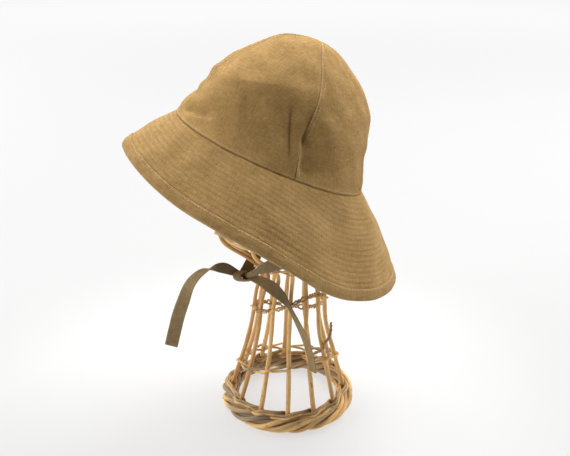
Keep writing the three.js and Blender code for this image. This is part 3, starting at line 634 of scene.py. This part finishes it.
def brimStitches():
    grids = []
    longest = brimSlant(np.array([180.0]))[0]
    rows = np.arange(0, longest - brim["hemWidth"], brim["rowStep"]) + brim["hemWidth"]
    rows = np.concatenate([[brim["hemWidth"] - stitching["hemIn"]], rows[1:]])
    for k, offEdge in enumerate(rows):
        mmPerDegree = (640 + 260 * (1 - offEdge / longest)) / 360
        start = evenStarts(360 * mmPerDegree, stitching["pitch"], stitching["length"]) / mmPerDegree
        end = start + stitching["length"] / mmPerDegree
        out0, out1 = 1 - offEdge / brimSlant(start), 1 - offEdge / brimSlant(end)
        keep = out0 > 0.06
        start, end, out0, out1 = (column[keep] for column in (start, end, out0, out1))
        onHem = brim["hemCloth"] * 0.95 if k == 0 else -brim["puff"] * 0.55
        surface = lambda u, v, lift: brimPoint(u, v, lift + onHem)
        points = stitchGrid(surface, start, out0, end, out1)
        patch = unevenness(start * mmPerDegree, 0 * start + offEdge, 40, 6, 21)
        chance = np.clip(0.4 + 0.35 * patch if k == 0 else 0.3 * (patch - 0.75), 0, 1)
        pale = np.where(rng.uniform(0, 1, len(start)) < chance, 0.9, 0.0)[:, None, None]
        onwards = np.arange(5)[:, None] * 0.5 + np.zeros(6)
        uv = np.stack(np.broadcast_arrays(start[:, None, None] * 2, onwards), -1)
        grids.append((points, uv, {"wearAndShade": pale}))
    makePiece("brimStitches", grids, thread)


def seamStitches():
    grids = []
    for seamAngle in (0, 90, 180, 270):
        share = np.linspace(0.015, 0.97, 56)
        rise = 1 - (1 - share) ** 1.3
        low, high = rise[:-1], rise[:-1] + np.diff(rise) * 0.72
        aside = lambda h: (np.degrees(crown["seamStitchAt"] / (meanHalf * crownShare(h)))
                           + upCrown(crown["seamSway"], "turn", h))
        surface = lambda u, v, lift: crownPoint(u, v, lift + crown["fellRise"] - crown["stitchDip"])
        points = stitchGrid(surface, seamAngle + aside(low), low, seamAngle + aside(high), high)
        pale = np.where(rng.uniform(0, 1, len(low)) < 0.6, 0.9, 0.1)[:, None, None]
        grids.append((points, np.zeros(2), {"wearAndShade": pale}))
    makePiece("seamStitches", grids, thread)


brimStitches()
seamStitches()
print("stitches made")


# Chin ties: flat strap, two lengths knotted under the brim. at is the route on the stand, across is the
# way the width lies, width narrows where the strap is drawn into the knot, and the fourth column, 0 where
# it is left out, is painted shade: how far a stretch of strap that lies in shadow is darkened.
strap = {
    "thickness": 1.6, "steps": 150, "endFold": 5.0,
    "left": table(
        "at across width unfaded",
        ((79, -12, 287), (0, 1, 0), 12.5),
        ((80, -11, 262), (0, 1, 0), 12.5),
        ((81.5, -11, 239), (0, 1, 0.1), 12.5),
        ((82.5, -12, 225), (0, 1, 0.2), 12.5),
        ((81.5, -13.5, 213), (-0.3, 0.6, 0.7), 13),
        ((79, -16, 207.4), (-0.63, 0.13, 0.76), 13),
        ((73, -20.4, 205), (-0.58, -0.04, 0.81), 13, 0.5),
        ((70, -25.9, 202.1), (-0.3, -0.28, 0.9), 12.5, 0.55),
        ((60, -32.4, 194.4), (-0.15, -0.34, 0.92), 11, 0.55),
        ((42, -38, 182.5), (-0.2, -0.34, 0.9), 7, 0.55),
        ((10.4, -42.9, 163.1), (-0.55, -0.2, 0.75), 5, 0.45),
        ((4, -47.5, 160.6), (0.5, 0.13, 0.85), 6.5, 0.5),
        ((3.2, -53.9, 163.5), (0.33, 0.23, 0.92), 9.5, 0.7),
        ((3.8, -64.1, 169.6), (0.23, 0.18, 0.96), 13, 0.7),
        ((5, -71.3, 172.2), (0.41, -0.07, 0.91), 13.3, 0.7),
        ((6, -77.9, 172.4), (0.76, -0.22, 0.61), 13.5, 0.4),
        ((7.5, -86.2, 170.9), (1, -0.01, 0.04), 13.5),
        ((9, -94.5, 165.8), (0.95, 0.29, -0.12), 13.5),
        ((10, -102, 156.5), (0.8, 0.59, -0.13), 13.5),
        ((11, -108.5, 140.9), (0.54, 0.82, -0.2), 13.5),
        ((12, -114.2, 125.8), (0.39, 0.9, -0.22), 13.5),
        ((13, -119, 109.1), (0.29, 0.93, -0.21), 13.5),
        ((14, -123.3, 93.1), (0.28, 0.94, -0.2), 13.5),
    ),
    "right": table(
        "at across width unfaded",
        ((-87.6, -12, 282), (0, 1, 0), 12.5),
        ((-86.5, -11, 258), (0, 1, 0), 12.5),
        ((-84.5, -11, 239), (0, 1, 0.1), 12.5),
        ((-82.5, -12, 225), (0, 1, 0.2), 12.5),
        ((-80, -16, 213), (0, 0.8, 0.6), 13),
        ((-72, -21, 200), (-0.4, 0.2, 0.85), 13, 0.5),
        ((-57, -24, 184), (-0.2, -0.5, 0.8), 13, 0.5),
        ((-40, -24, 170), (-0.07, -0.87, 0.48), 13, 0.5),
        ((-25, -29.2, 166.4), (-0.08, -0.85, 0.52), 13, 0.5),
        ((-12, -35.1, 166.1), (-0.19, -0.82, 0.53), 13, 0.5),
        ((-2, -41, 164.2), (-0.29, -0.78, 0.56), 12, 0.6),
        ((4, -46.5, 161.9), (-0.2, -0.72, 0.67), 8.5, 0.6),
        ((6.5, -44.4, 158.4), (-0.71, 0.13, 0.69), 6.5, 0.2),
        ((8.7, -39.2, 160.2), (-0.67, 0.32, 0.67), 8),
        ((17, -30.7, 158.8), (-0.44, 0.54, 0.72), 9.8, 0.1),
        ((23, -25.2, 157.3), (-0.32, 0.59, 0.74), 12, 0.3),
        ((28.5, -20.8, 155.6), (-0.1, 0.63, 0.77), 12.8, 0.45),
        ((34, -16.5, 153), (0.24, 0.57, 0.79), 13, 0.6),
        ((38.5, -12.8, 149.9), (0.51, 0.47, 0.72), 13, 0.75),
        ((42, -9.8, 146.2), (0.73, 0.29, 0.62), 13, 0.75),
        ((45, -7.1, 141.7), (0.85, 0.09, 0.52), 13, 0.6),
        ((49, -1.1, 129.1), (0.84, 0.16, 0.52), 13, 0.2),
        ((52, 5, 114.7), (0.81, 0.25, 0.52), 13),
        ((55, 9.3, 102.1), (0.82, 0.29, 0.49), 13),
        ((58, 12.6, 88.4), (0.85, 0.28, 0.45), 13),
        ((61, 14.4, 74.1), (0.87, 0.27, 0.43), 13),
    ),
}


# A strap's surface: a flattened oval carried along its route, thick at the edges where the cloth is
# folded in. endFold is the length of the hem folded back at its free end, which is thicker.
def strapGrid(rows, steps, thickness, curl=0.0, endFold=0.0):
    path = smoothCurve([row["at"] for row in rows], steps)
    along = unit(np.gradient(path, axis=0))
    across = smoothCurve([row["across"] for row in rows], steps)
    across = unit(across - along * (across * along).sum(-1, keepdims=True))
    through = np.cross(along, across)
    width = smoothCurve([[row["width"]] for row in rows], steps)[:, 0]
    turn = np.linspace(0, 2 * np.pi, 25)
    side = np.sign(np.cos(turn)) * np.abs(np.cos(turn)) ** 0.45
    deep = np.sign(np.sin(turn)) * np.abs(np.sin(turn)) ** 0.7
    flat = width[:, None] / 2 * side
    bend = curl * (side**2 - 0.4)
    reached = lengthAlong(path)
    hemmed = 0.5 / (1 + np.exp((reached[-1] - reached - endFold) / 0.25)) * (endFold > 0)
    doubled = thickness / 2 * (1 + hemmed)
    points = (path[:, None] + across[:, None] * flat[..., None]
              + through[:, None] * (doubled[:, None] * deep + bend)[..., None])
    ends = [path[None, :1].repeat(25, 1), path[None, -1:].repeat(25, 1)]
    points = np.concatenate([ends[0], points, ends[1]])
    reached = np.concatenate([reached[:1], reached, reached[-1:]])
    uv = np.stack(np.broadcast_arrays(6.25 * side + np.where(deep < 0, 30, 0), reached[:, None]), -1)
    # Painted shade from the fourth column darkens shadowed stretches; the edges are worn paler.
    unfaded = np.clip(smoothCurve([[row.get("unfaded", 0.0)] for row in rows], steps + 2), 0, 1)
    wearAndShade = 0.55 * np.abs(side) ** 8 * (1 - unfaded) - unfaded
    return path, (points, uv, {"wearAndShade": wearAndShade})


def tie(name, rows, nodes):
    path, grid = strapGrid(rows, strap["steps"], strap["thickness"], 0.3, strap["endFold"])
    piece = makePiece(name, [grid], strapCanvas, nodes)


# The knot: one turn of strap, drawn tight round both ties.
knot = {
    "thickness": 2.2, "width": 8.0, "across": (0.35, 0.9, 0.1),
    "turn": [(0, -45.9, 162.7), (5, -50.2, 165.2), (8.5, -53.2, 164.6), (9.5, -53.7, 161.6),
             (8.5, -50.8, 158.1), (7, -45.5, 156.1), (5, -40.1, 155.7), (0, -37.7, 156.2),
             (-3, -40.8, 159), (0, -45.9, 162.7)],
}
knotRows = [{"at": at, "across": knot["across"], "width": knot["width"]} for at in knot["turn"]]
knotGrid = strapGrid(knotRows, 60, knot["thickness"], -0.8)[1]
knotPiece = makePiece("tieKnot", [knotGrid], strapCanvas, ["tie_knot"])
tie("chinTieLeft", strap["left"], ["tie_left", "tail_left"])
tie("chinTieRight", strap["right"], ["tie_right", "tail_right"])
print("ties made")


# Wicker stand. sections give the cane circle's radius and its shift to the wearer's left and to the back.
# canes are the angles of the uprights, and lean is how far one turns in the cage, between the heights in
# leanUp and leanDown. They are browner by footShade at the floor, fading out at the height footShadeTo.
# A twined row is higher by nearRise at the wearer's left, and spiral lifts it twice a turn.
stand = {
    "sections": table(
        "height radius aside back",
        (8, 63.8, -7, 1.6), (64, 47.8, -2.3, 2.4), (101, 39, -1.5, 2.1), (137, 35.3, -1.2, 3.8),
        (163, 30.2, -1, 5.8), (182, 47.5, -0.5, 5), (203, 69, 0, 1.5), (226, 70, 0, -2),
        (256, 65, 0, 0), (290, 60, 0, 2), (322, 53, 0, 3), (350, 40, 0, 4),
        (372, 25, 0, 5), (383.9, 16, 0, 5),
    ),
    "canes": table(
        "angle lean shade",
        (-9.8, 5, 0.6), (23.7, -13, 0.7), (50.8, 0, 0.05), (78.4, 0, 0.15),
        (105.1, 0, 0.25), (132.1, 0, 0.1), (163.4, 0, 0.2), (204, 0, 0.2),
        (233, 0, 0.1), (262.5, 0, 0.3), (288, 0, 0.1), (313.5, 0, 0.3),
    ),
    "leanUp": (150, 200), "leanDown": (240, 340),
    "footRadius": 2.6, "topRadius": 1.4, "clear": 0.2, "footShade": 0.5, "footShadeTo": 95.0,
    "rows": table(
        "name height nearRise spiral strand extraTurns",
        ("foot_twine", 51.5, 20, -3.5, 1.3, 0),
        ("waist_twine", 119, 21, -6.5, 1.0, 1),
        ("neck_twine", 176, 0, 0, 1.0, 0),
        ("jaw_twine", 214, 0, 0, 1.3, 0),
    ),
    "looseEnd": [(41, 14.5, 80), (40, 20, 81.9), (39, 25.5, 82.8), (37, 30.2, 84.6), (33, 31.5, 86.7),
                 (30, 35.1, 87.9), (27, 39, 90.8), (24, 41.6, 96.6), (23, 41.9, 105.5)],
    "loose": {"square": (0.3, 0, 1.0), "pitch": 9, "apart": 0.8, "strand": 0.95, "shade": 0.75},
    "ring": {"radius": 62.9, "height": 8.7, "turns": 3, "out": 7.2, "rise": 6.1,
             "rod": 2.45, "core": 5.0, "frontPaintedShade": 0.4, "nearPaintedLight": 0.12,
             "shades": (0.1, 0.75, 0.2, 0.6, 0.05, 0.85, 0.3),
             "rims": table("height rod shade", (17.0, 1.6, 0.25), (20.0, 1.3, 0.8))},
    "top": {"radius": 15.0, "height": 387.3, "back": 5.0, "strand": 1.75, "swing": 1.5, "turns": 9},
}
stations = smoothCurve([list(row.values()) for row in stand["sections"]], 320)


# A point of the stand at a height and angle, moved outwards square to the cane and onwards along it.
def standPoint(height, angle, outwards, onwards):
    a = np.radians(angle)
    slope = unit(np.gradient(stations[:, [1, 0]], axis=0))
    at = lambda column: np.interp(height, stations[:, 0], column)
    alongOut, alongUp = at(slope[:, 0]), at(slope[:, 1])
    radius = at(stations[:, 1]) + outwards * alongUp + onwards * alongOut
    rise = height - outwards * alongOut + onwards * alongUp
    x, y = at(stations[:, 2]) + radius * np.sin(a), at(stations[:, 3]) - radius * np.cos(a)
    return np.stack([x, y, rise], -1)


def caneRadius(height):
    share = np.clip(height / stand["sections"][-1]["height"], 0, 1)
    return stand["footRadius"] + (stand["topRadius"] - stand["footRadius"]) * share


# The uprights' angles at a height: each its own, with its lean eased in and out.
def caneAngles(height):
    angle, lean = (np.array([cane[key] for cane in stand["canes"]], float) for key in ("angle", "lean"))
    ends = (stand["leanUp"], stand["leanDown"])
    up, down = (np.clip((height - low) / (high - low), 0, 1) for low, high in ends)
    return angle + np.multiply.outer(eased(up) * (1 - eased(down)), lean)


def canes():
    height = stations[::3, 0]
    angles = caneAngles(height)
    for i in range(angles.shape[1]):
        a = np.radians(angles[:, i])
        path = standPoint(height, angles[:, i], 0, 0)
        sway = [unevenness(height, 0 * height, 70, 4, 140 + i + 20 * k) for k in range(2)]
        path[:, :2] += 0.2 * np.stack(sway, -1)
        square = np.stack([np.cos(a), np.sin(a), 0 * a], -1)
        knobs = 1 + 0.06 * unevenness(height, 0 * height, 30, 5, 40 + i)
        points, uv = tube(path, caneRadius(height) * knobs, square, 12)
        lowDown = np.clip(1 - points[..., 2] / stand["footShadeTo"], 0, 1)
        shade = stand["canes"][i]["shade"] + stand["footShade"] * lowDown
        makePiece(f"cane{i + 1:02d}", [(points, uv + [7.3 * i, 137.0 * i], {"shade": shade})],
                  willow, [f"cane_{i + 1:02d}"])


# The paths of two strands twined along a row. Each goes outside one cane and inside the next: passed
# counts the canes gone by, and is half a turn of the pair each. Extra turns are taken between canes,
# where the strands lie close. A row that climbs needs more lift to keep the two apart.
def twinedPair(height, nearRise, spiral, thick, extraTurns):
    count = len(stand["canes"])
    passed = np.linspace(0, count, count * 16 + 1)
    posts = caneAngles(height)
    angle = np.interp(passed, np.arange(count + 1), np.append(posts, posts[0] + 360))
    a = np.radians(angle)
    level = height + nearRise * np.sin(a) + spiral * np.sin(2 * a)
    climb = (abs(nearRise) + 2 * abs(spiral)) / np.interp(height, stations[:, 0], stations[:, 1])
    lift = (thick + stand["clear"]) * np.hypot(1, climb)
    swing = caneRadius(height) + thick + stand["clear"]
    spread = lift + (swing - lift) * np.cos(np.pi * passed) ** 4
    share = np.clip((passed % 1 - 0.2) / 0.6, 0, 1)
    turn = np.pi * passed + 2 * np.pi * extraTurns * share**2 * (3 - 2 * share)
    return [standPoint(level, angle, spread * np.cos(turn + way), spread * np.sin(turn + way))
            for way in (0, np.pi)]


# The loose end of the foot's twine: two strands turned round each other.
def looseEnd():
    loose = stand["loose"]
    square = np.array(loose["square"])
    path = smoothCurve(stand["looseEnd"], 120)
    along = unit(np.gradient(path, axis=0))
    aside = unit(np.cross(along, square))
    turn = 2 * np.pi * lengthAlong(path)[:, None] / loose["pitch"]
    grids = []
    for way in (0, np.pi):
        ring = np.cos(turn + way) * aside + np.sin(turn + way) * np.cross(aside, along)
        points, uv = tube(path + loose["apart"] * ring, loose["strand"], square, 8)
        grids.append((points, uv, {"shade": loose["shade"]}))
    return grids


def twines():
    for row in stand["rows"]:
        pair = twinedPair(row["height"], row["nearRise"], row["spiral"], row["strand"], row["extraTurns"])
        for path, letter in zip(pair, "ab"):
            points, uv = tube(path, row["strand"], upright, 10, closed=True)
            onwards = lengthAlong(path)
            shade = 0.5 + 0.35 * unevenness(onwards, 0 * onwards, 50, 4, 70 + ord(letter))[:, None]
            grids = [(points, uv, {"shade": shade})]
            if row["name"] == "foot_twine" and letter == "a":
                grids += looseEnd()
            makePiece(row["name"].replace("_twine", "Twine") + letter.upper(), grids, weaver,
                      [f"{row['name']}_{letter}"])


# The foot's border: rods laid round a core like a rope, on a ring, with thin pairs twined over it round
# the canes. Rods are paler where they lie low and outside and at the wearer's left, which is painted light,
# and browner in front, which is painted shade.
def footBorder():
    ring = stand["ring"]
    a = np.linspace(0, 2 * np.pi, 361)
    grids = []

    def rod(path, thick, shade):
        points, uv = tube(path, thick, upright, 12, closed=True)
        apart = len(grids)
        shade = np.broadcast_to(shade, len(path))[:, None]
        grids.append((points, uv + [31.0 * apart, 400.0 * apart], {"shade": shade}))

    def onRing(out, rise):
        radius = ring["radius"] + out
        x, y = footAt[0] + radius * np.sin(a), footAt[1] - radius * np.cos(a)
        return np.stack([x, y, rise + 0 * a], -1)

    rod(onRing(0, ring["height"]), ring["core"], 1.2)
    for k, tone in enumerate(ring["shades"]):
        slack = 0.3 * np.sin(3 * a + 2.1 * k) + 0.2 * np.sin(7 * a + 1.3 * k)
        turn = ring["turns"] * a + 2 * np.pi * k / len(ring["shades"]) + slack
        thick = ring["rod"] * (1 + 0.08 * np.sin(5 * a + 1.7 * k))
        # Painted light on each rod's low outer side and painted shade on its high inner side, with a random
        # change of tone.
        shade = tone - 0.45 * np.cos(turn + 0.7) + 0.15 * np.sin(4 * a + k)
        # Painted shade in front and painted light at the wearer's left.
        shade = shade + ring["frontPaintedShade"] * np.maximum(np.cos(a), 0) - ring["nearPaintedLight"] * np.sin(a)
        rod(onRing(ring["out"] * np.cos(turn), ring["height"] + ring["rise"] * np.sin(turn)), thick, shade)
    for rim in ring["rims"]:
        for path in twinedPair(rim["height"], 0, 0, rim["rod"], 0):
            rod(path, rim["rod"], rim["shade"])
    makePiece("footBorder", grids, weaver, ["foot_ring"])


def topWrap():
    top = stand["top"]
    a = np.linspace(0, 2 * np.pi, 181)
    grids = []
    for k in range(2):
        turn = top["turns"] * a + np.pi * k
        radius = top["radius"] + top["swing"] * np.cos(turn)
        path = np.stack([radius * np.sin(a), top["back"] - radius * np.cos(a),
                         top["height"] + top["swing"] * np.sin(turn)], -1)
        points, uv = tube(path, top["strand"], upright, 10, closed=True)
        grids.append((points, uv + [0, 90.0 * k], {"shade": 0.4}))
    makePiece("topWrap", grids, weaver, ["top_ring"])


canes()
twines()
footBorder()
topWrap()
print("stand made")


# Stage: a white floor that glows, and wide soft lamps at both sides and above the far side. Each glow
# goes from the first (distance in metres, strength) to the second, so that the floor looks evenly white.
# The backdrop past the floor looks as white, and lights the object only as much as surround says.
studio = {
    "floorHalf": 8.0, "floorColour": (0.30, 0.30, 0.30), "footGlow": ((0.1, 0.18), (0.42, 0.0)),
    "farGlow": ((0.5, 0.39), (3.0, 0.9)), "surround": 0.02, "backdrop": 0.93, "aim": (0, 0, 0.28),
    "lamps": table(
        "name at size power",
        ("leftLamp", (0.1, -1.8, 1.0), 1.3, 18.5),
        ("rightLamp", (0.1, 1.8, 1.0), 1.3, 14.8),
        ("overFar", (-0.8, 0.0, 1.8), 1.3, 15.0),
        ("overLeft", (-0.6, -0.8, 1.7), 1.2, 12.5),
        ("overRight", (-0.6, 0.8, 1.7), 1.2, 35.0),
        ("farLeft", (-1.4, -1.4, 0.9), 1.3, 11.5),
        ("lowLeft", (0.5, -1.6, 0.3), 1.0, 2.7),
        ("lowRight", (0.5, 1.6, 0.3), 1.0, 1.5),
    ),
}
half = studio["floorHalf"]
floorMesh = bpy.data.meshes.new("floor")
corners = [(-half, -half, 0), (half, -half, 0), (half, half, 0), (-half, half, 0)]
floorMesh.from_pydata(corners, [], [(0, 1, 2, 3)])
floorPaint = bpy.data.materials.new("paleFloor")
floorPaint.use_nodes = True
floorTree = floorPaint.node_tree
floorPlace = addNode(floorTree, "ShaderNodeTexCoord").outputs["Object"]
away = addNode(floorTree, "ShaderNodeVectorMath", {0: floorPlace}, operation="LENGTH").outputs["Value"]
glows = []
for key in ("footGlow", "farGlow"):
    (reachLow, low), (reachHigh, high) = studio[key]
    ends = {"Value": away, "From Min": reachLow, "From Max": reachHigh, "To Min": low, "To Max": high}
    glows.append(addNode(floorTree, "ShaderNodeMapRange", ends, interpolation_type="SMOOTHSTEP").outputs[0])
setInputs(floorTree, floorTree.nodes["Principled BSDF"], {
    "Base Color": (*studio["floorColour"], 1), "Roughness": 0.8, "Specular IOR Level": 0.1,
    "Emission Color": maths(floorTree, "ADD", *glows), "Emission Strength": 1.0})
floorMesh.materials.append(floorPaint)
floor = addObject("floor", floorMesh)

world = bpy.data.worlds.new("studioSurround")
world.use_nodes = True
worldTree = world.node_tree
seen = addNode(worldTree, "ShaderNodeLightPath").outputs["Is Camera Ray"]
shown = times(worldTree, seen, studio["backdrop"] - studio["surround"])
setInputs(worldTree, worldTree.nodes["Background"], {
    "Color": (1, 1, 1, 1), "Strength": maths(worldTree, "ADD", shown, studio["surround"])})
scene.world = world

for lamp in studio["lamps"]:
    light = bpy.data.lights.new(lamp["name"], "AREA")
    light.size, light.energy = lamp["size"], lamp["power"]
    holder = addObject(lamp["name"], light)
    holder.location = lamp["at"]
    way = np.array(studio["aim"]) - np.array(lamp["at"])
    holder.rotation_euler = (np.arctan2(np.hypot(way[0], way[1]), -way[2]), 0, np.arctan2(-way[0], way[1]))
scene.view_settings.view_transform = "Standard"  # plain sRGB, as the photograph
print("stage set")
